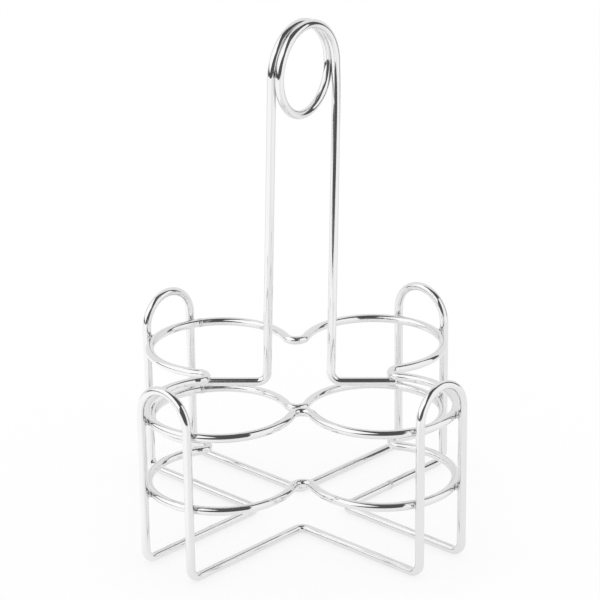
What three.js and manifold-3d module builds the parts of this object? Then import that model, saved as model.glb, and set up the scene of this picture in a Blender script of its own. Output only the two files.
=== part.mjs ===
// Four-ring table caddy for condiment bottles, bent from chrome-plated steel wire and welded.
// Millimetres, +Z up, origin on the table under the middle of the caddy, front towards -Y.
// One long wire makes the four corner arches, their legs and the star on the table.
// Two clover-shaped wires hold the bottles, and a handle wire with a coil at the top stands on the upper one.

import * as THREE from 'three';
import { mergeVertices } from 'three/addons/utils/BufferGeometryUtils.js';
import Module from 'manifold-3d';

// Wire
const WIRE_R = 2.15;
const WIRE_SIDES = 12;
const CROSSING_GAP = 0.4;
const BEND_STEP = THREE.MathUtils.degToRad(18.4);

// Clover racks: four rings whose centres lie on a square, joined by reverse bends
const RING_R = 35;
const RING_OFFSET = 38.3;
const NOTCH_R = 5;
const RING_STEP = THREE.MathUtils.degToRad(9.5);
const LOWER_RACK_Z = 36.5;
const UPPER_RACK_Z = 73.4;

// Corner arches, legs and the star on the table
const LEG_SPREAD = THREE.MathUtils.degToRad(22.5);
const ARCH_TOP_Z = 93.3;
const FOOT_BEND_R = 5.5;
const STAR_BEND_R = 4.5;

// Handle: bars under the upper rack, leaning legs and the card coil
const BAR_HALF_GAP = 15.5;
const BAR_END = 47.2;
const BAR_BEND_R = 5;
const BAR_TURN = THREE.MathUtils.degToRad(-3);
const COIL_R = 21.5;
const COIL_TURNS = 1.5;
const COIL_PITCH = 4.9;
const COIL_STEPS_PER_TURN = 32;
const COIL_PLANE_TURN = THREE.MathUtils.degToRad(53.6);
const COIL_CENTRE = new THREE.Vector3(4.15, 0, 227.3);
const COIL_LEAD_IN = 12;

// Welds
const BUTT_GAP = 1.4;
const BUTT_BEAD_R = 2.4;
const BUTT_BEAD_LENGTH = 0.8;
const RACK_BUTT_ANGLE = THREE.MathUtils.degToRad(107);
const STAR_BUTT_ALONG = 33.7;
const WELD_CLEARANCE = 0.3;
const WELD_ACROSS = 2.7;
const WELD_DEPTH = 1.7;
const BAR_WELD_SINK = 1.2;
const BAR_WELD_ACROSS = 3.3;
const BAR_WELD_DEPTH = 2;

const UP = new THREE.Vector3(0, 0, 1);
const QUARTER_TURN = Math.PI / 2;
const crossingDistance = 2 * WIRE_R + CROSSING_GAP;
const legReach = RING_R + crossingDistance;
const legX = RING_OFFSET + legReach * Math.cos(Math.PI / 4 - LEG_SPREAD);
const legY = RING_OFFSET + legReach * Math.sin(Math.PI / 4 - LEG_SPREAD);
const starVertex = legX - legY;
const archR = (legX - legY) / Math.SQRT2;
const notchSetOut = Math.sqrt((RING_R + NOTCH_R) ** 2 - RING_OFFSET ** 2);
const ringStart = Math.atan2(-RING_OFFSET, notchSetOut);
const ringEnd = QUARTER_TURN - ringStart;
const notchCentre = RING_OFFSET + notchSetOut;
const barZ = UPPER_RACK_Z - crossingDistance + BAR_WELD_SINK;

const wasm = await Module();
wasm.setup();

const caddy = new THREE.Group();

function turned(point, angle) {
  return point.clone().applyAxisAngle(UP, angle);
}

// Centreline of a bent wire: a station at each end of every straight and at every bend step.
// The section is carried along the stations without twisting.
class WirePath extends THREE.Curve {
  constructor() {
    super();
    this.points = [];
    this.tangents = [];
  }

  addStation(point, tangent) {
    const last = this.points.at(-1);
    if (last && last.distanceTo(point) < 1e-6) return;
    this.points.push(point.clone());
    this.tangents.push(tangent.clone().normalize());
  }

  // Arc in the plane of the X axis and Y axis given, from one angle to another about a centre
  addArc(centre, xAxis, yAxis, radius, from, to, step) {
    const count = Math.ceil(Math.abs(to - from) / step - 1e-6);
    const way = Math.sign(to - from);
    for (let i = 0; i <= count; i++) {
      const angle = from + ((to - from) * i) / count;
      const outward = xAxis.clone().multiplyScalar(Math.cos(angle)).addScaledVector(yAxis, Math.sin(angle));
      const along = xAxis.clone().multiplyScalar(-Math.sin(angle)).addScaledVector(yAxis, Math.cos(angle));
      this.addStation(centre.clone().addScaledVector(outward, radius), along.multiplyScalar(way));
    }
  }

  // Straight runs between corners, each corner bent to its own radius
  addBentRun(corners) {
    const first = corners[0].at;
    this.addStation(first, corners[1].at.clone().sub(first));
    for (let i = 1; i < corners.length - 1; i++) {
      this.addBend(corners[i - 1].at, corners[i].at, corners[i + 1].at, corners[i].bend);
    }
    const last = corners.at(-1).at;
    this.addStation(last, last.clone().sub(corners.at(-2).at));
  }

  addBend(before, corner, after, radius) {
    const wayIn = corner.clone().sub(before).normalize();
    const wayOut = after.clone().sub(corner).normalize();
    const sweep = wayIn.angleTo(wayOut);
    const setback = radius * Math.tan(sweep / 2);
    const side = wayOut.clone().addScaledVector(wayIn, -Math.cos(sweep)).normalize();
    const start = corner.clone().addScaledVector(wayIn, -setback);
    const centre = start.clone().addScaledVector(side, radius);
    this.addArc(centre, side.clone().negate(), wayIn, radius, 0, sweep, BEND_STEP);
  }

  getPoint(t, target = new THREE.Vector3()) {
    const place = t * (this.points.length - 1);
    const i = Math.min(Math.floor(place), this.points.length - 2);
    return target.lerpVectors(this.points[i], this.points[i + 1], place - i);
  }

  getSpacedPoints() {
    return this.points;
  }

  computeFrenetFrames() {
    const normals = [];
    const binormals = [];
    let normal = UP.clone();
    for (const tangent of this.tangents) {
      normal = normal.clone().addScaledVector(tangent, -normal.dot(tangent)).normalize();
      normals.push(normal);
      binormals.push(tangent.clone().cross(normal));
    }
    return { tangents: this.tangents, normals, binormals };
  }
}

// Closed tube along a path; its section has flats facing up and down on level runs
function tubeAlong(path, radius) {
  const section = new THREE.Shape();
  const cornerR = radius / Math.cos(Math.PI / WIRE_SIDES);
  for (let i = 0; i < WIRE_SIDES; i++) {
    const angle = ((i + 0.5) * 2 * Math.PI) / WIRE_SIDES;
    const place = [cornerR * Math.cos(angle), cornerR * Math.sin(angle)];
    if (i === 0) section.moveTo(...place);
    else section.lineTo(...place);
  }
  section.closePath();
  const steps = path.points.length - 1;
  return new THREE.ExtrudeGeometry(section, { steps, extrudePath: path, bevelEnabled: false });
}

function solidOf(geometry) {
  const bare = geometry.clone();
  bare.deleteAttribute('normal');
  bare.deleteAttribute('uv');
  const merged = mergeVertices(bare, 1e-4);
  return new wasm.Manifold(new wasm.Mesh({
    numProp: 3,
    vertProperties: new Float32Array(merged.attributes.position.array),
    triVerts: new Uint32Array(merged.index.array),
  }));
}

function geometryOf(solid) {
  const mesh = solid.getMesh();
  const geometry = new THREE.BufferGeometry();
  geometry.setAttribute('position', new THREE.BufferAttribute(mesh.vertProperties, 3));
  geometry.setIndex(new THREE.BufferAttribute(mesh.triVerts, 1));
  geometry.computeVertexNormals();
  return geometry;
}

function chromeWire() {
  return new THREE.MeshStandardMaterial({ color: 0xd6d8da, roughness: 0.1, metalness: 1 });
}

function chromeWeld() {
  return new THREE.MeshStandardMaterial({ color: 0xb9bbbd, roughness: 0.35, metalness: 1 });
}

function addPiece(name, geometry, material) {
  const mesh = new THREE.Mesh(geometry, material);
  mesh.name = name;
  caddy.add(mesh);
  return mesh;
}

// Leg frame: from its butt weld on one star arm, round all four corner arches and back to the weld
function legFramePath() {
  const path = new WirePath();
  const armStart = new THREE.Vector3(starVertex, 0, WIRE_R);
  const armEnd = new THREE.Vector3(legX, legY, WIRE_R);
  const armWay = armEnd.clone().sub(armStart).normalize();
  const weld = armStart.clone().addScaledVector(armWay, STAR_BUTT_ALONG);
  const corners = [{ at: weld.clone().addScaledVector(armWay, BUTT_GAP / 2) }];
  for (let quarter = 0; quarter < 4; quarter++) {
    const place = (x, y, z) => turned(new THREE.Vector3(x, y, z), quarter * QUARTER_TURN);
    corners.push({ at: place(legX, legY, WIRE_R), bend: FOOT_BEND_R });
    corners.push({ at: place(legX, legY, ARCH_TOP_Z), bend: archR });
    corners.push({ at: place(legY, legX, ARCH_TOP_Z), bend: archR });
    corners.push({ at: place(legY, legX, WIRE_R), bend: FOOT_BEND_R });
    corners.push({ at: place(0, starVertex, WIRE_R), bend: STAR_BEND_R });
  }
  corners.push({ at: weld.clone().addScaledVector(armWay, -BUTT_GAP / 2) });
  path.addBentRun(corners);
  return { path, weld, weldWay: armWay };
}

// Clover rack: from its butt weld on the back left ring, anticlockwise round all four rings and back
function rackPath(height) {
  const path = new WirePath();
  const halfGap = BUTT_GAP / 2 / RING_R;
  const ringArc = (quarter, from, to) => {
    const turn = quarter * QUARTER_TURN;
    const centre = turned(new THREE.Vector3(RING_OFFSET, RING_OFFSET, height), turn);
    const xAxis = turned(new THREE.Vector3(1, 0, 0), turn);
    const yAxis = turned(new THREE.Vector3(0, 1, 0), turn);
    path.addArc(centre, xAxis, yAxis, RING_R, from, to, RING_STEP);
  };
  const notchArc = (quarter) => {
    const turn = quarter * QUARTER_TURN;
    const centre = turned(new THREE.Vector3(0, notchCentre, height), turn);
    const xAxis = turned(new THREE.Vector3(1, 0, 0), turn);
    const yAxis = turned(new THREE.Vector3(0, 1, 0), turn);
    path.addArc(centre, xAxis, yAxis, NOTCH_R, ringEnd - Math.PI, -ringEnd, BEND_STEP);
  };
  const weldAngle = RACK_BUTT_ANGLE - QUARTER_TURN;
  ringArc(1, weldAngle + halfGap, ringEnd);
  for (const quarter of [2, 3, 4]) {
    notchArc(quarter - 1);
    ringArc(quarter, ringStart, ringEnd);
  }
  notchArc(4);
  ringArc(5, ringStart, weldAngle - halfGap);
  const ringCentre = new THREE.Vector3(-RING_OFFSET, RING_OFFSET, height);
  const outward = turned(new THREE.Vector3(1, 0, 0), RACK_BUTT_ANGLE);
  const weld = ringCentre.addScaledVector(outward, RING_R);
  return { path, weld, weldWay: turned(outward, QUARTER_TURN) };
}

// Handle: left bar, left leg, coil from the back turn to the front one, right leg, right bar
function handlePath(barEnd) {
  const path = new WirePath();
  const level = turned(new THREE.Vector3(1, 0, 0), COIL_PLANE_TURN);
  const axis = turned(new THREE.Vector3(0, -1, 0), COIL_PLANE_TURN);
  const coilAt = (turns) => {
    const angle = Math.PI - turns * 2 * Math.PI;
    const out = level.clone().multiplyScalar(Math.cos(angle)).addScaledVector(UP, Math.sin(angle));
    const advance = (turns - COIL_TURNS / 2) * COIL_PITCH;
    return COIL_CENTRE.clone().addScaledVector(out, COIL_R).addScaledVector(axis, advance);
  };
  const coilWay = (turns) => {
    const angle = Math.PI - turns * 2 * Math.PI;
    const round = level.clone().multiplyScalar(Math.sin(angle)).addScaledVector(UP, -Math.cos(angle));
    return round.multiplyScalar(2 * Math.PI * COIL_R).addScaledVector(axis, COIL_PITCH).normalize();
  };
  const barPoint = (x) => turned(new THREE.Vector3(x, 0, barZ), BAR_TURN);
  const legBend = (coilEnd, coilTangent, corner) => {
    const at = coilEnd.clone().addScaledVector(coilTangent, -COIL_LEAD_IN);
    const lean = at.clone().sub(corner).angleTo(coilEnd.clone().sub(at));
    return { at, bend: COIL_LEAD_IN / Math.tan(lean / 2) };
  };
  const leftBend = legBend(coilAt(0), coilWay(0), barPoint(-BAR_HALF_GAP));
  const rightBend = legBend(coilAt(COIL_TURNS), coilWay(COIL_TURNS).negate(), barPoint(BAR_HALF_GAP));
  path.addBentRun([
    { at: barPoint(-barEnd) },
    { at: barPoint(-BAR_HALF_GAP), bend: BAR_BEND_R },
    leftBend,
    { at: coilAt(0) },
  ]);
  const coilFirst = path.points.length - 1;
  const coilSteps = COIL_TURNS * COIL_STEPS_PER_TURN;
  for (let i = 1; i <= coilSteps; i++) {
    const turns = i / COIL_STEPS_PER_TURN;
    path.addStation(coilAt(turns), coilWay(turns));
  }
  const coilLast = path.points.length - 1;
  path.addBentRun([
    { at: coilAt(COIL_TURNS) },
    rightBend,
    { at: barPoint(BAR_HALF_GAP), bend: BAR_BEND_R },
    { at: barPoint(barEnd) },
  ]);
  return { path, coilFirst, coilLast };
}

// Least gap of the coil to itself and to the legs, between points of the wire half a turn or more apart
function printLeastGap({ path, coilFirst, coilLast }) {
  const apart = COIL_STEPS_PER_TURN / 2;
  const samples = [];
  for (let i = 0; i < path.points.length - 1; i++) {
    const length = path.points[i].distanceTo(path.points[i + 1]);
    const count = Math.max(1, Math.ceil(length));
    for (let k = 0; k < count; k++) {
      samples.push({ station: i, at: path.points[i].clone().lerp(path.points[i + 1], k / count) });
    }
  }
  let least = Infinity;
  for (const a of samples) {
    if (a.station < coilFirst || a.station > coilLast) continue;
    for (const b of samples) {
      if (Math.abs(a.station - b.station) < apart) continue;
      least = Math.min(least, a.at.distanceTo(b.at));
    }
  }
  const cornerR = WIRE_R / Math.cos(Math.PI / WIRE_SIDES);
  console.log(`least gap of the coil to itself: ${(least - 2 * cornerR).toFixed(2)} mm`);
}

// Bead squeezed out where two wires cross: a flattened ball cut back from both wires
function crossingWeld(name, centre, pressed, across, depth, firstWire, secondWire) {
  const ball = new THREE.SphereGeometry(1, 10, 6);
  ball.scale(across, across, depth);
  ball.applyQuaternion(new THREE.Quaternion().setFromUnitVectors(UP, pressed));
  ball.translate(...centre);
  const bead = solidOf(ball).subtract(firstWire).subtract(secondWire);
  addPiece(name, geometryOf(bead), chromeWeld());
}

// Bead between the two ends of a closed wire, with a rounded rim
function buttWeld(name, centre, along) {
  const half = BUTT_BEAD_LENGTH / 2;
  const rim = BUTT_BEAD_R - half / 2;
  const profile = [
    new THREE.Vector2(0, -half),
    new THREE.Vector2(rim, -half),
    new THREE.Vector2(BUTT_BEAD_R, -half / 3),
    new THREE.Vector2(BUTT_BEAD_R, half / 3),
    new THREE.Vector2(rim, half),
    new THREE.Vector2(0, half),
  ];
  const bead = addPiece(name, new THREE.LatheGeometry(profile, 12), chromeWeld());
  bead.position.copy(centre);
  bead.quaternion.setFromUnitVectors(new THREE.Vector3(0, 1, 0), along);
}

const legFrame = legFramePath();
const upperRack = rackPath(UPPER_RACK_Z);
const lowerRack = rackPath(LOWER_RACK_Z);
const handle = handlePath(BAR_END);
const longHandle = handlePath(BAR_END + WELD_CLEARANCE);
printLeastGap(handle);

const grown = WIRE_R + WELD_CLEARANCE;
const legFrameCut = solidOf(tubeAlong(legFrame.path, grown));
const upperRackCut = solidOf(tubeAlong(upperRack.path, grown));
const lowerRackCut = solidOf(tubeAlong(lowerRack.path, grown));
const handleCut = solidOf(tubeAlong(longHandle.path, grown));

// Welding presses the handle's bars into the upper rack, so each has a saddle where the rack sits in it
const saddledHandle = solidOf(tubeAlong(handle.path, WIRE_R)).subtract(upperRackCut);

addPiece('leg_frame', tubeAlong(legFrame.path, WIRE_R), chromeWire());
addPiece('upper_rack', tubeAlong(upperRack.path, WIRE_R), chromeWire());
addPiece('lower_rack', tubeAlong(lowerRack.path, WIRE_R), chromeWire());
addPiece('handle', geometryOf(saddledHandle), chromeWire());

// Each leg is welded to both racks where it stands against a ring
const cornerNames = ['back_right', 'back_left', 'front_left', 'front_right'];
const racks = [
  { name: 'upper', z: UPPER_RACK_Z, cut: upperRackCut },
  { name: 'lower', z: LOWER_RACK_Z, cut: lowerRackCut },
];
cornerNames.forEach((corner, quarter) => {
  for (const [leg, side] of [['leg_a', -1], ['leg_b', 1]]) {
    const angle = Math.PI / 4 + quarter * QUARTER_TURN + side * LEG_SPREAD;
    const outward = turned(new THREE.Vector3(1, 0, 0), angle);
    for (const rack of racks) {
      const ringCentre = turned(new THREE.Vector3(RING_OFFSET, RING_OFFSET, rack.z), quarter * QUARTER_TURN);
      const centre = ringCentre.addScaledVector(outward, RING_R + crossingDistance / 2);
      const name = `weld_${rack.name}_${corner}_${leg}`;
      crossingWeld(name, centre, outward, WELD_ACROSS, WELD_DEPTH, legFrameCut, rack.cut);
    }
  }
});

// The handle's bars are welded under the upper rack's side notches
for (const [side, sign] of [['left', -1], ['right', 1]]) {
  const barWay = turned(new THREE.Vector3(sign, 0, 0), BAR_TURN);
  const notch = new THREE.Vector3(sign * notchCentre, 0, 0);
  const toNotch = barWay.dot(notch);
  const along = toNotch - Math.sqrt(toNotch ** 2 - notch.lengthSq() + NOTCH_R ** 2);
  const centre = barWay.multiplyScalar(along).setZ((UPPER_RACK_Z + barZ) / 2);
  crossingWeld(`weld_handle_${side}`, centre, UP, BAR_WELD_ACROSS, BAR_WELD_DEPTH, upperRackCut, handleCut);
}

// Butt welds close the three endless wires; the one on the star sits a little high, clear of the table
const tableClear = new THREE.Vector3(0, 0, BUTT_BEAD_R - WIRE_R + 0.05);
buttWeld('butt_weld_leg_frame', legFrame.weld.clone().add(tableClear), legFrame.weldWay);
buttWeld('butt_weld_upper_rack', upperRack.weld, upperRack.weldWay);
buttWeld('butt_weld_lower_rack', lowerRack.weld, lowerRack.weldWay);

export default caddy;
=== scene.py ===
"""Wire condiment caddy: smooth bright chrome wires and weld beads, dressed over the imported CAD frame."""

import math
from collections import namedtuple

import bpy
from mathutils import Matrix, Vector, noise


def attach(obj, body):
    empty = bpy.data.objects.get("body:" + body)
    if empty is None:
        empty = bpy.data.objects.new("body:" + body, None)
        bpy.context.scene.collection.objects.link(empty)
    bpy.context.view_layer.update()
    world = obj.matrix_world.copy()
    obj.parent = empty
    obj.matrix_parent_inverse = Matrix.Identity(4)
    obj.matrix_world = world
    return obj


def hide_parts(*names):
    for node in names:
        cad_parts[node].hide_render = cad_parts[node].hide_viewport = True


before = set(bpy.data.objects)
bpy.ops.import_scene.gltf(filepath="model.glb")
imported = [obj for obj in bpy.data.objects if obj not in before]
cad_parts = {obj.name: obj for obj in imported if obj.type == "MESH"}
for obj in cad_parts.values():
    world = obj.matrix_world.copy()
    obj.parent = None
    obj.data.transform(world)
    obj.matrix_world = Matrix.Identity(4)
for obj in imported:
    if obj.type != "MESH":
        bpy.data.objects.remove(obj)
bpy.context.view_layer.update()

MM = 0.001
UP = Vector((0, 0, 1))
QUARTER_TURN = math.pi / 2

# Wire, and how finely it is drawn
WIRE_R = 2.15 * MM
CROSSING_GAP = 0.4 * MM
WIRE_SIDES = 28
STRAIGHT_STEP = 4 * MM
BEND_STEP = math.radians(5)
RING_STEP = math.radians(3)
BEND_SQUEEZE = 0.08
END_CHAMFER = 0.35 * MM
SHARP_EDGE = math.radians(40)
SAME_PLACE = 1e-7

# Clover racks: four rings whose centres lie on a square, joined by reverse bends
RING_R = 35 * MM
RING_OFFSET = 38.3 * MM
NOTCH_R = 5 * MM
LOWER_RACK_Z = 36.5 * MM
UPPER_RACK_Z = 73.4 * MM

# Corner arches, legs and the star on the table
LEG_SPREAD = math.radians(22.5)
ARCH_TOP_Z = 93.3 * MM
FOOT_BEND_R = 5.5 * MM
STAR_BEND_R = 4.5 * MM

# Handle: bars under the upper rack, leaning legs and the card coil
BAR_HALF_GAP = 15.5 * MM
BAR_END = 47.2 * MM
BAR_BEND_R = 5 * MM
BAR_TURN = math.radians(-3)
BAR_WELD_SINK = 1.2 * MM
COIL_R = 21.5 * MM
COIL_TURNS = 1.5
COIL_PITCH = 4.35 * MM
COIL_STEPS = 180
COIL_PLANE_TURN = math.radians(53.6)
COIL_CENTRE = Vector((4.15, 0, 227.3)) * MM
COIL_LEAD_IN = 12 * MM

# Weld beads between crossing wires: their reach along and across each wire, and their ends inside it
FILLET_ALONG = 2.7 * MM
BAR_FILLET_ALONG = 2.3 * MM
FILLET_ACROSS = 1.9 * MM
FILLET_INSIDE = 0.5 * MM
FILLET_INSIDE_SHARE = 0.3
FILLET_STEPS = 7
FILLET_SIDES = 32
FILLET_UNEVEN = 0.09
FILLET_LUMP = 2.5 * MM
FILLET_LUMP_REACH = 4 * MM

# Butt welds: their gaps and places, and half of the flash by place along the wire and radius, in mm
BUTT_GAP = 1.4 * MM
RACK_BUTT_ANGLE = math.radians(107)
STAR_BUTT_ALONG = 33.7 * MM
FLASH_PROFILE = [(-1.4, 1.95), (-1.1, 2.12), (-0.8, 2.2), (-0.45, 2.25), (-0.18, 2.23), (0, 2.2)]
FLASH_UNEVEN = 0.05 * MM
FLASH_LUMP = 3 * MM
FLASH_LUMPS_ROUND = 2.2
TABLE_CLEAR = 0.02 * MM

# Camera of the photograph
CAMERA_PLACE = Vector((-29.108, -1159.89, 559.997)) * MM
CAMERA_YAW = math.radians(1.485)
CAMERA_PITCH = math.radians(-21.095)
CAMERA_ROLL = math.radians(-0.689)
CAMERA_LENS = 155.36
SENSOR_WIDTH = 36

# Sizes that follow from those above
crossing_distance = 2 * WIRE_R + CROSSING_GAP
leg_reach = RING_R + crossing_distance
leg_x = RING_OFFSET + leg_reach * math.cos(math.pi / 4 - LEG_SPREAD)
leg_y = RING_OFFSET + leg_reach * math.sin(math.pi / 4 - LEG_SPREAD)
star_vertex = leg_x - leg_y
arch_r = (leg_x - leg_y) / math.sqrt(2)
notch_set_out = math.sqrt((RING_R + NOTCH_R) ** 2 - RING_OFFSET**2)
notch_centre = RING_OFFSET + notch_set_out
ring_start = math.atan2(-RING_OFFSET, notch_set_out)
ring_end = QUARTER_TURN - ring_start
bar_distance = crossing_distance - BAR_WELD_SINK
bar_z = UPPER_RACK_Z - bar_distance

# Studio round the caddy, in metres and degrees
# A panel faces along +Y before it is turned by yaw, tilted by pitch and rolled
Panel = namedtuple("Panel", "name centre yaw pitch roll width height level")
PANELS = [
    Panel("back_panel", centre=(-0.285, 0.242, 0.327), yaw=188.3, pitch=4.7, roll=-8.0,
          width=1.171, height=1.302, level=0.945),
    Panel("left_panel", centre=(-2.124, -0.16, 1.271), yaw=60.2, pitch=-55.6, roll=-16.1,
          width=4.3, height=3.125, level=1.26),
    Panel("right_panel", centre=(0.28, -0.101, 0.204), yaw=-56.1, pitch=5.9, roll=-10.9,
          width=0.389, height=0.605, level=1.12),
]
ROOM_HALF = 5.0
ROOM_LEVEL = 0.1

# Table: its corners from the front left to the back left, its paint, and the places and levels of its glow
# as the chrome shows it, brighter towards the left by a painted sheen
TABLE_CORNERS = [(-1.26, -0.55, 0), (0, -0.96, 0), (0.81, -1.39, 0), (0.81, 3.0, 0), (-1.12, 3.0, 0)]
FLOOR_TONE = 0.3
# Painted sheen: in the chrome the table glows brighter towards its left, rising between these two x places
# from the plain level to the sheen level
PAINTED_SHEEN_FULL_X, PAINTED_SHEEN_END_X = -0.125, -0.025
PAINTED_SHEEN_LEVEL, DULL_LEVEL = 1.2, 1.03

# Plating of the wires: patterns by repeats in a metre and detail, relief by strength and depth
Pattern = namedtuple("Pattern", "scale detail")
Relief = namedtuple("Relief", "strength depth")
WIRE_TONES = (0.755, 0.755, 0.76), (0.79, 0.79, 0.79)
WIRE_PATCHES = Pattern(55.0, 2.0)
HAZE = Pattern(70.0, 4.0)
HAZE_BORDERS = 0.35, 0.75
HAZE_ROUGHNESS = 0.045, 0.1
RIPPLES = Pattern(320.0, 2.0)
RIPPLE_RELIEF = Relief(0.2, 0.03 * MM)
LINE_STRETCH = 45, 4200, 1
LINES = Pattern(1.0, 3.0)
LINE_ROUGHNESS = 0.03
LINE_RELIEF = Relief(0.25, 0.004 * MM)
NEAR_WELD_ROUGHNESS = 0.12
NEAR_WELD_REACH = 5 * MM

# Plating of the welds
WELD_TONES = (0.6, 0.6, 0.605), (0.74, 0.74, 0.74)
WELD_PATCHES = Pattern(600.0, 2.0)
GRAIN = Pattern(900.0, 3.0)
GRAIN_BORDERS = 0.3, 0.7
GRAIN_ROUGHNESS = 0.14, 0.34
RUNS = Pattern(700.0, 3.0)
RUN_RELIEF = Relief(0.6, 0.12 * MM)
PIT_SCALE = 2600.0
PIT_RELIEF = Relief(0.3, 0.03 * MM)

# Sockets of a Mix node for colours, which share their names with those for numbers
MIX_SHARE, MIX_COLOURS, MIX_RESULT = 0, (6, 7), 2

# Points of a wire's path, and the welds
Station = namedtuple("Station", "place way inward squeeze")
Corner = namedtuple("Corner", "place bend")
Crossing = namedtuple("Crossing", "name centre pressed first_way second_way apart along")
Butt = namedtuple("Butt", "name centre way")


def turned(point, angle):
    return Matrix.Rotation(angle, 3, "Z") @ point


class WirePath:
    """Centreline of a bent wire. A station also says which way it bends and how far the bend flattens it."""

    def __init__(self):
        self.stations = []

    def add(self, place, way, inward=None, squeeze=0.0):
        if self.stations and (self.stations[-1].place - place).length < SAME_PLACE:
            return
        inward = UP if inward is None else inward
        self.stations.append(Station(place.copy(), way.normalized(), inward, squeeze))

    def add_arc(self, centre, x_axis, y_axis, radius, start, end, step):
        count = math.ceil(abs(end - start) / step)
        forward = math.copysign(1, end - start)
        for i in range(count + 1):
            angle = start + (end - start) * i / count
            outward = x_axis * math.cos(angle) + y_axis * math.sin(angle)
            way = (y_axis * math.cos(angle) - x_axis * math.sin(angle)) * forward
            squeeze = BEND_SQUEEZE * WIRE_R / radius * math.sin(math.pi * i / count)
            self.add(centre + outward * radius, way, -outward, squeeze)

    def add_straight(self, end):
        start = self.stations[-1].place.copy()
        way = end - start
        count = max(1, round(way.length / STRAIGHT_STEP))
        for i in range(1, count + 1):
            self.add(start + way * (i / count), way)

    def add_bent_run(self, corners):
        first = corners[0].place
        self.add(first, corners[1].place - first)
        for before, corner, after in zip(corners, corners[1:], corners[2:]):
            self.add_bend(before.place, corner.place, after.place, corner.bend)
        self.add_straight(corners[-1].place)

    def add_bend(self, before, corner, after, radius):
        way_in = (corner - before).normalized()
        way_out = (after - corner).normalized()
        sweep = way_in.angle(way_out)
        start = corner - way_in * radius * math.tan(sweep / 2)
        side = (way_out - way_in * math.cos(sweep)).normalized()
        self.add_straight(start)
        self.add_arc(start + side * radius, -side, way_in, radius, 0, sweep, BEND_STEP)


def leg_frame_path():
    """From the butt weld on one star arm, round all four corner arches and back to the weld."""
    path = WirePath()
    arm_start = Vector((star_vertex, 0, WIRE_R))
    arm_way = (Vector((leg_x, leg_y, WIRE_R)) - arm_start).normalized()
    weld = arm_start + arm_way * STAR_BUTT_ALONG
    corners = [Corner(weld + arm_way * BUTT_GAP / 2, 0)]
    for quarter in range(4):
        for place, bend in [
            ((leg_x, leg_y, WIRE_R), FOOT_BEND_R),
            ((leg_x, leg_y, ARCH_TOP_Z), arch_r),
            ((leg_y, leg_x, ARCH_TOP_Z), arch_r),
            ((leg_y, leg_x, WIRE_R), FOOT_BEND_R),
            ((0, star_vertex, WIRE_R), STAR_BEND_R),
        ]:
            corners.append(Corner(turned(Vector(place), quarter * QUARTER_TURN), bend))
    corners.append(Corner(weld - arm_way * BUTT_GAP / 2, 0))
    path.add_bent_run(corners)
    return path, Butt("butt_weld_leg_frame", weld, arm_way)


def rack_path(name, height):
    """From the butt weld on the back left ring, anticlockwise round all four rings and back to the weld."""
    path = WirePath()
    half_gap = BUTT_GAP / 2 / RING_R

    def add_quarter_arc(quarter, centre, radius, start, end, step):
        turn = quarter * QUARTER_TURN
        x_axis, y_axis = turned(Vector((1, 0, 0)), turn), turned(Vector((0, 1, 0)), turn)
        path.add_arc(turned(Vector((*centre, height)), turn), x_axis, y_axis, radius, start, end, step)

    def add_ring(quarter, start, end):
        add_quarter_arc(quarter, (RING_OFFSET, RING_OFFSET), RING_R, start, end, RING_STEP)

    def add_notch(quarter):
        add_quarter_arc(quarter, (0, notch_centre), NOTCH_R, ring_end - math.pi, -ring_end, BEND_STEP)

    weld_angle = RACK_BUTT_ANGLE - QUARTER_TURN
    add_ring(1, weld_angle + half_gap, ring_end)
    for quarter in (2, 3, 4):
        add_notch(quarter - 1)
        add_ring(quarter, ring_start, ring_end)
    add_notch(4)
    add_ring(5, ring_start, weld_angle - half_gap)
    outward = turned(Vector((1, 0, 0)), RACK_BUTT_ANGLE)
    weld = Vector((-RING_OFFSET, RING_OFFSET, height)) + outward * RING_R
    return path, Butt(f"butt_weld_{name}", weld, turned(outward, QUARTER_TURN))


def handle_path():
    """Left bar, left leg, coil from the back turn to the front one, right leg, right bar."""
    path = WirePath()
    level = turned(Vector((1, 0, 0)), COIL_PLANE_TURN)
    axis = turned(Vector((0, -1, 0)), COIL_PLANE_TURN)

    def coil_out(turns):
        angle = math.pi - turns * 2 * math.pi
        return level * math.cos(angle) + UP * math.sin(angle)

    def coil_at(turns):
        advance = (turns - COIL_TURNS / 2) * COIL_PITCH
        return COIL_CENTRE + coil_out(turns) * COIL_R + axis * advance

    def coil_way(turns):
        angle = math.pi - turns * 2 * math.pi
        around = level * math.sin(angle) - UP * math.cos(angle)
        return (around * 2 * math.pi * COIL_R + axis * COIL_PITCH).normalized()

    def bar_corner(x, bend=0):
        return Corner(turned(Vector((x, 0, bar_z)), BAR_TURN), bend)

    def leg_corner(coil_end, coil_tangent, bar):
        place = coil_end - coil_tangent * COIL_LEAD_IN
        lean = (place - bar.place).angle(coil_end - place)
        return Corner(place, COIL_LEAD_IN / math.tan(lean / 2))

    left_bar, right_bar = bar_corner(-BAR_HALF_GAP, BAR_BEND_R), bar_corner(BAR_HALF_GAP, BAR_BEND_R)
    first, last = coil_at(0), coil_at(COIL_TURNS)
    left_leg = leg_corner(first, coil_way(0), left_bar)
    right_leg = leg_corner(last, -coil_way(COIL_TURNS), right_bar)
    path.add_bent_run([bar_corner(-BAR_END), left_bar, left_leg, Corner(first, 0)])
    for i in range(1, COIL_STEPS + 1):
        turns = COIL_TURNS * i / COIL_STEPS
        path.add(coil_at(turns), coil_way(turns), -coil_out(turns), 0)
    path.add_bent_run([Corner(last, 0), right_leg, right_bar, bar_corner(BAR_END)])
    return path


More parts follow.
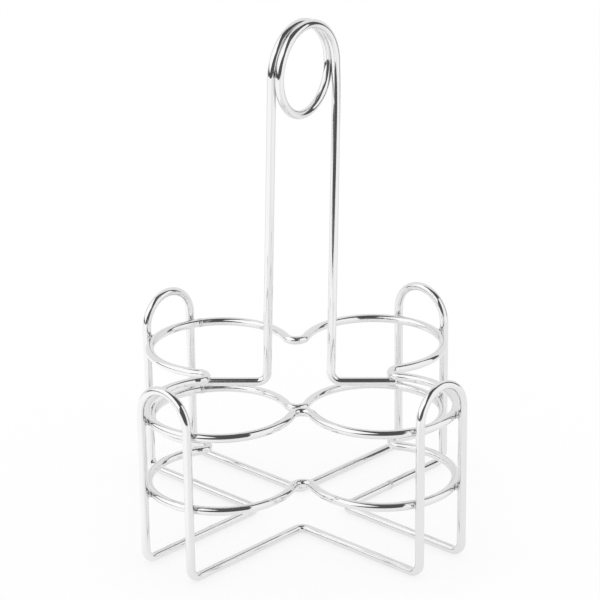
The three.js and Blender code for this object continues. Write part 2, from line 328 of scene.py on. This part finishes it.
def crossing_welds():
    """Where each leg is welded against a ring, and where the bars are welded under the side notches."""
    welds = []
    for quarter, corner in enumerate(["back_right", "back_left", "front_left", "front_right"]):
        for leg, side in [("leg_a", -1), ("leg_b", 1)]:
            outward = turned(Vector((1, 0, 0)), math.pi / 4 + quarter * QUARTER_TURN + side * LEG_SPREAD)
            for rack, height in [("upper", UPPER_RACK_Z), ("lower", LOWER_RACK_Z)]:
                ring = turned(Vector((RING_OFFSET, RING_OFFSET, height)), quarter * QUARTER_TURN)
                centre = ring + outward * (RING_R + crossing_distance / 2)
                ring_way = turned(outward, QUARTER_TURN)
                name = f"weld_{rack}_{corner}_{leg}"
                welds.append(Crossing(name, centre, outward, UP, ring_way, crossing_distance, FILLET_ALONG))
    for name, side in [("weld_handle_left", -1), ("weld_handle_right", 1)]:
        bar_way = turned(Vector((side, 0, 0)), BAR_TURN)
        notch = Vector((side * notch_centre, 0, 0))
        along = bar_way.dot(notch) - math.sqrt(bar_way.dot(notch) ** 2 - notch.length_squared + NOTCH_R**2)
        crossing = bar_way * along
        notch_way = turned((crossing - notch).normalized(), QUARTER_TURN)
        centre = crossing + UP * (UPPER_RACK_Z - bar_distance / 2)
        welds.append(Crossing(name, centre, UP, notch_way, bar_way, bar_distance, BAR_FILLET_ALONG))
    return welds


def new_piece(name, vertices, faces, material):
    """A smooth mesh that rides on the one body and stands for the CAD node of the same name."""
    mesh = bpy.data.meshes.new(name + "_mesh")
    mesh.from_pydata(vertices, [], faces)
    mesh.shade_smooth()
    mesh.set_sharp_from_angle(angle=SHARP_EDGE)
    piece = bpy.data.objects.new(name + "_chrome", mesh)
    bpy.context.scene.collection.objects.link(piece)
    mesh.materials.append(material)
    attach(piece, "root")
    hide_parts(name)
    return piece


def ring_faces(rings, sides):
    """Quads between neighbouring rings of vertices, with both ends closed."""
    faces = [tuple(reversed(range(sides)))]
    for ring in range(rings - 1):
        base = ring * sides
        for side in range(sides):
            after = (side + 1) % sides
            faces.append((base + side, base + after, base + sides + after, base + sides + side))
    faces.append(tuple((rings - 1) * sides + side for side in range(sides)))
    return faces


def sweep_wire(name, path, material, welds):
    """Round tube along a path with chamfered ends, a map along and around it, and its nearness to welds."""
    first, last = path.stations[0], path.stations[-1]
    sections = [(first, 0.0, WIRE_R - END_CHAMFER), (first, END_CHAMFER, WIRE_R)]
    sections += [(station, 0.0, WIRE_R) for station in path.stations[1:-1]]
    sections += [(last, -END_CHAMFER, WIRE_R), (last, 0.0, WIRE_R - END_CHAMFER)]
    vertices, lengths = [], []
    normal, length, before = UP.copy(), 0.0, first.place
    for station, shift, radius in sections:
        place = station.place + station.way * shift
        length += (place - before).length
        before = place
        lengths.append(length)
        normal = (normal - station.way * normal.dot(station.way)).normalized()
        across = station.way.cross(normal)
        for side in range(WIRE_SIDES):
            angle = 2 * math.pi * side / WIRE_SIDES
            spoke = (normal * math.cos(angle) + across * math.sin(angle)) * radius
            spoke -= station.inward * spoke.dot(station.inward) * station.squeeze
            vertices.append(place + spoke)
    piece = new_piece(name, vertices, ring_faces(len(sections), WIRE_SIDES), material)
    add_wire_map(piece.data, lengths)
    add_weld_nearness(piece.data, welds)


def add_wire_map(mesh, lengths):
    """UV map in metres: along the wire and around it."""
    layer = mesh.uv_layers.new(name="along_wire")
    girth = 2 * math.pi * WIRE_R
    for face in mesh.polygons:
        sides = [mesh.loops[i].vertex_index % WIRE_SIDES for i in face.loop_indices]
        wraps = max(sides) - min(sides) > WIRE_SIDES / 2
        for i, side in zip(face.loop_indices, sides):
            around = side + WIRE_SIDES if wraps and side < WIRE_SIDES / 2 else side
            along = lengths[mesh.loops[i].vertex_index // WIRE_SIDES]
            layer.data[i].uv = (along, girth * around / WIRE_SIDES)


def add_weld_nearness(mesh, welds):
    """Point value from 1 at a weld to 0 a few millimetres away."""
    attribute = mesh.attributes.new("weld_nearness", "FLOAT", "POINT")
    for i, vertex in enumerate(mesh.vertices):
        gap = min((vertex.co - weld.centre).length for weld in welds)
        attribute.data[i].value = math.exp(-((gap / NEAR_WELD_REACH) ** 2))


def fillet_weld(weld, material):
    """Bead that runs out smoothly onto both crossing wires, a little uneven, and closed inside them."""
    half = weld.apart / 2
    first_side = weld.pressed.cross(weld.first_way)
    second_side = weld.pressed.cross(weld.second_way)
    rows = []
    for side in range(FILLET_SIDES):
        angle = 2 * math.pi * side / FILLET_SIDES
        spoke = weld.first_way * math.cos(angle) + first_side * math.sin(angle)
        lump = noise.noise((weld.centre + spoke * FILLET_LUMP_REACH) / FILLET_LUMP)
        uneven = 1 + FILLET_UNEVEN * lump
        edges = []
        for way, across, sign in [(weld.first_way, first_side, 1), (weld.second_way, second_side, -1)]:
            share_along, share_across = abs(spoke.dot(way)), abs(spoke.dot(across))
            reach = uneven / math.hypot(share_along / weld.along, share_across / FILLET_ACROSS)
            drop = math.sqrt(WIRE_R**2 - (reach * share_across) ** 2)
            edges.append((reach, sign * (half - drop), sign * reach * share_across**2 / drop))
        rows.append([(spoke, out, up) for out, up in fillet_profile(*edges)])
    rings = list(zip(*rows))
    vertices = [weld.centre + spoke * out + weld.pressed * up for ring in rings for spoke, out, up in ring]
    new_piece(weld.name, vertices, ring_faces(len(rings), FILLET_SIDES), material)


def fillet_profile(upper, lower):
    """Profile (out, up) of a bead from inside one wire, along a curve tangent to both, into the other."""
    (out_a, up_a, slope_a), (out_b, up_b, slope_b) = upper, lower
    meet = ((up_b - slope_b * out_b) - (up_a - slope_a * out_a)) / (slope_a - slope_b)
    meet_up = up_a + slope_a * (meet - out_a)
    profile = [(out_a * FILLET_INSIDE_SHARE, up_a + FILLET_INSIDE)]
    for i in range(FILLET_STEPS + 1):
        t = i / FILLET_STEPS
        out = out_a * (1 - t) ** 2 + meet * 2 * t * (1 - t) + out_b * t**2
        up = up_a * (1 - t) ** 2 + meet_up * 2 * t * (1 - t) + up_b * t**2
        profile.append((out, up))
    profile.append((out_b * FILLET_INSIDE_SHARE, up_b - FILLET_INSIDE))
    return profile


def butt_flash(weld, material):
    """Raised, uneven collar over the joint of two wire ends, dressed flat where it would reach the table."""
    profile = FLASH_PROFILE + [(-along, radius) for along, radius in reversed(FLASH_PROFILE[:-1])]
    normal = (UP - weld.way * UP.dot(weld.way)).normalized()
    across = weld.way.cross(normal)
    vertices = []
    for along, radius in profile:
        for side in range(WIRE_SIDES):
            angle = 2 * math.pi * side / WIRE_SIDES
            spoke = normal * math.cos(angle) + across * math.sin(angle)
            lump_place = spoke * FLASH_LUMPS_ROUND + weld.centre / FLASH_LUMP + Vector((along, 0, 0))
            uneven = FLASH_UNEVEN * noise.noise(lump_place)
            place = weld.centre + weld.way * along * MM + spoke * (radius * MM + uneven)
            place.z = max(place.z, TABLE_CLEAR)
            vertices.append(place)
    new_piece(weld.name, vertices, ring_faces(len(profile), WIRE_SIDES), material)


class Tree:
    """A node tree and short ways to add to it. A value is a number or another node's output."""

    def __init__(self, owner):
        owner.use_nodes = True
        self.tree = owner.node_tree
        self.tree.nodes.clear()

    def node(self, kind, inputs=None, **settings):
        made = self.tree.nodes.new(kind)
        for name, value in settings.items():
            setattr(made, name, value)
        for name, value in (inputs or {}).items():
            self.put(made.inputs[name], value)
        return made

    def put(self, socket, value):
        if isinstance(value, bpy.types.NodeSocket):
            self.tree.links.new(value, socket)
        else:
            socket.default_value = value

    def math(self, operation, *values):
        made = self.tree.nodes.new("ShaderNodeMath")
        made.operation = operation
        for socket, value in zip(made.inputs, values):
            self.put(socket, value)
        return made.outputs[0]

    def ramp(self, value, low, high, to_low, to_high):
        """Smooth step from to_low to to_high while the value goes from low to high."""
        names = ("Value", "From Min", "From Max", "To Min", "To Max")
        inputs = dict(zip(names, (value, low, high, to_low, to_high)))
        return self.node("ShaderNodeMapRange", inputs, interpolation_type="SMOOTHSTEP").outputs["Result"]

    def noise(self, vector, pattern):
        inputs = {"Vector": vector, "Scale": pattern.scale, "Detail": pattern.detail}
        return self.node("ShaderNodeTexNoise", inputs).outputs["Fac"]

    def bump(self, height, relief, over=None):
        """Relief by height, on top of another relief where one is given."""
        inputs = {"Height": height, "Strength": relief.strength, "Distance": relief.depth}
        if over is not None:
            inputs["Normal"] = over
        return self.node("ShaderNodeBump", inputs).outputs["Normal"]


def metal_material(name, tones, patches, roughness, relief):
    """Metallic shader in patches of two tones. The functions given add its roughness and fine relief."""
    material = bpy.data.materials.new(name)
    tree = Tree(material)
    place = tree.node("ShaderNodeTexCoord").outputs["Object"]
    tone = tree.node("ShaderNodeMix", data_type="RGBA")
    tree.put(tone.inputs[MIX_SHARE], tree.noise(place, patches))
    for socket, colour in zip(MIX_COLOURS, tones):
        tree.put(tone.inputs[socket], (*colour, 1))
    shader = tree.node("ShaderNodeBsdfPrincipled", {"Metallic": 1.0})
    tree.put(shader.inputs["Base Color"], tone.outputs[MIX_RESULT])
    tree.put(shader.inputs["Roughness"], roughness(tree, place))
    tree.put(shader.inputs["Normal"], relief(tree, place))
    output = tree.node("ShaderNodeOutputMaterial")
    tree.put(output.inputs["Surface"], shader.outputs[0])
    return material


def chrome_wire_material():
    """Bright plating: hazy patches, faint drawing lines along the wire, duller close to a weld."""

    def drawn_lines(tree):
        along = tree.node("ShaderNodeUVMap", uv_map="along_wire").outputs["UV"]
        stretched = tree.node("ShaderNodeMapping", {"Vector": along, "Scale": LINE_STRETCH})
        return tree.noise(stretched.outputs["Vector"], LINES)

    def roughness(tree, place):
        haze = tree.ramp(tree.noise(place, HAZE), *HAZE_BORDERS, *HAZE_ROUGHNESS)
        lines = tree.math("MULTIPLY_ADD", drawn_lines(tree), LINE_ROUGHNESS, haze)
        near = tree.node("ShaderNodeAttribute", attribute_name="weld_nearness").outputs["Fac"]
        return tree.math("MULTIPLY_ADD", near, NEAR_WELD_ROUGHNESS, lines)

    def relief(tree, place):
        rippled = tree.bump(tree.noise(place, RIPPLES), RIPPLE_RELIEF)
        return tree.bump(drawn_lines(tree), LINE_RELIEF, over=rippled)

    return metal_material("chrome_wire", WIRE_TONES, WIRE_PATCHES, roughness, relief)


def chrome_weld_material():
    """Plated weld metal: greyer and duller than the wire, with small runs and pits."""

    def roughness(tree, place):
        return tree.ramp(tree.noise(place, GRAIN), *GRAIN_BORDERS, *GRAIN_ROUGHNESS)

    def relief(tree, place):
        runs = tree.bump(tree.noise(place, RUNS), RUN_RELIEF)
        pits = tree.node("ShaderNodeTexVoronoi", {"Vector": place, "Scale": PIT_SCALE})
        return tree.bump(pits.outputs["Distance"], PIT_RELIEF, over=runs)

    return metal_material("chrome_weld", WELD_TONES, WELD_PATCHES, roughness, relief)


def aimed_axes(yaw, pitch, roll):
    """Forward, right and upward axes of a thing that faces +Y before it is turned, tilted and rolled."""
    forward = Vector((math.sin(yaw) * math.cos(pitch), math.cos(yaw) * math.cos(pitch), math.sin(pitch)))
    level = Vector((math.cos(yaw), -math.sin(yaw), 0))
    right = level * math.cos(roll) + level.cross(forward) * math.sin(roll)
    return forward, right, right.cross(forward)


def stage_object(name, vertices, faces, material):
    mesh = bpy.data.meshes.new(name + "_mesh")
    mesh.from_pydata(vertices, [], faces)
    mesh.materials.append(material)
    stage = bpy.data.objects.new(name, mesh)
    bpy.context.scene.collection.objects.link(stage)
    return stage


def mirrored_only(name, vertices, faces, level):
    """Evenly lit surface of the studio that shows in the chrome and nowhere else."""
    material = bpy.data.materials.new(name)
    tree = Tree(material)
    glow = tree.node("ShaderNodeEmission", {"Strength": level})
    output = tree.node("ShaderNodeOutputMaterial")
    tree.put(output.inputs["Surface"], glow.outputs[0])
    stage = stage_object(name, vertices, faces, material)
    stage.visible_camera = False
    stage.visible_diffuse = False
    stage.visible_shadow = False


def studio():
    """White world, and what the chrome mirrors in it: white panels, and the dark room behind them."""
    world = bpy.data.worlds.new("studio")
    bpy.context.scene.world = world
    tree = Tree(world)
    background = tree.node("ShaderNodeBackground", {"Color": (1, 1, 1, 1)})
    output = tree.node("ShaderNodeOutputWorld")
    tree.put(output.inputs["Surface"], background.outputs[0])

    for panel in PANELS:
        angles = [math.radians(angle) for angle in (panel.yaw, panel.pitch, panel.roll)]
        _, right, up = aimed_axes(*angles)
        half_right, half_up = right * panel.width / 2, up * panel.height / 2
        centre = Vector(panel.centre)
        sides = [(-1, -1), (1, -1), (1, 1), (-1, 1)]
        corners = [centre + half_right * across + half_up * height for across, height in sides]
        mirrored_only(panel.name, corners, [(0, 1, 2, 3)], panel.level)

    ends = (-ROOM_HALF, ROOM_HALF)
    room = [(x, y, z) for x in ends for y in ends for z in ends]
    walls = [(0, 1, 3, 2), (4, 6, 7, 5), (0, 4, 5, 1), (2, 3, 7, 6), (0, 2, 6, 4), (1, 5, 7, 3)]
    mirrored_only("dark_room", room, walls, ROOM_LEVEL)


def pale_floor_painted_sheen():
    """White table top that keeps the caddy's soft shadow. In the chrome it glows, brighter on the left by a
    painted sheen.
    """
    material = bpy.data.materials.new("pale_floor_painted_sheen")
    tree = Tree(material)
    paint = tree.node("ShaderNodeBsdfDiffuse", {"Color": (FLOOR_TONE, FLOOR_TONE, FLOOR_TONE, 1)})
    path = tree.node("ShaderNodeLightPath").outputs
    mirrored = tree.math("MAXIMUM", path["Is Glossy Ray"], path["Is Transmission Ray"])
    place = tree.node("ShaderNodeTexCoord").outputs["Object"]
    from_left = tree.node("ShaderNodeSeparateXYZ", {"Vector": place}).outputs["X"]
    # Painted light: for mirrored rays the table glows brighter towards its left, a painted sheen rather than
    # light falling on it
    sheen_levels = (PAINTED_SHEEN_LEVEL - FLOOR_TONE, DULL_LEVEL - FLOOR_TONE)
    glow_with_painted_sheen = tree.ramp(from_left, PAINTED_SHEEN_FULL_X, PAINTED_SHEEN_END_X, *sheen_levels)
    mirrored_painted_sheen = tree.math("MULTIPLY", mirrored, glow_with_painted_sheen)
    strength = tree.math("MULTIPLY_ADD", path["Is Camera Ray"], 1 - FLOOR_TONE, mirrored_painted_sheen)
    glow = tree.node("ShaderNodeEmission", {"Strength": strength})
    both = tree.node("ShaderNodeAddShader")
    tree.put(both.inputs[0], paint.outputs[0])
    tree.put(both.inputs[1], glow.outputs[0])
    output = tree.node("ShaderNodeOutputMaterial")
    tree.put(output.inputs["Surface"], both.outputs[0])
    stage_object("floor", TABLE_CORNERS, [tuple(range(len(TABLE_CORNERS)))], material)


def photo_camera():
    forward, right, up = aimed_axes(CAMERA_YAW, CAMERA_PITCH, CAMERA_ROLL)
    data = bpy.data.cameras.new("camera")
    data.lens = CAMERA_LENS
    data.sensor_width = SENSOR_WIDTH
    camera = bpy.data.objects.new("camera", data)
    bpy.context.scene.collection.objects.link(camera)
    axes = Matrix((right, up, -forward)).transposed().to_4x4()
    camera.matrix_world = Matrix.Translation(CAMERA_PLACE) @ axes
    bpy.context.scene.camera = camera


bpy.context.scene.view_settings.view_transform = "Standard"
photo_camera()
studio()
pale_floor_painted_sheen()

chrome_wire = chrome_wire_material()
chrome_weld = chrome_weld_material()
leg_frame, leg_frame_butt = leg_frame_path()
upper_rack, upper_rack_butt = rack_path("upper_rack", UPPER_RACK_Z)
lower_rack, lower_rack_butt = rack_path("lower_rack", LOWER_RACK_Z)
crossings = crossing_welds()
butts = [leg_frame_butt, upper_rack_butt, lower_rack_butt]

wires = [
    ("leg_frame", leg_frame),
    ("upper_rack", upper_rack),
    ("lower_rack", lower_rack),
    ("handle", handle_path()),
]
for name, path in wires:
    sweep_wire(name, path, chrome_wire, crossings + butts)
for crossing in crossings:
    fillet_weld(crossing, chrome_weld)
for butt in butts:
    butt_flash(butt, chrome_weld)
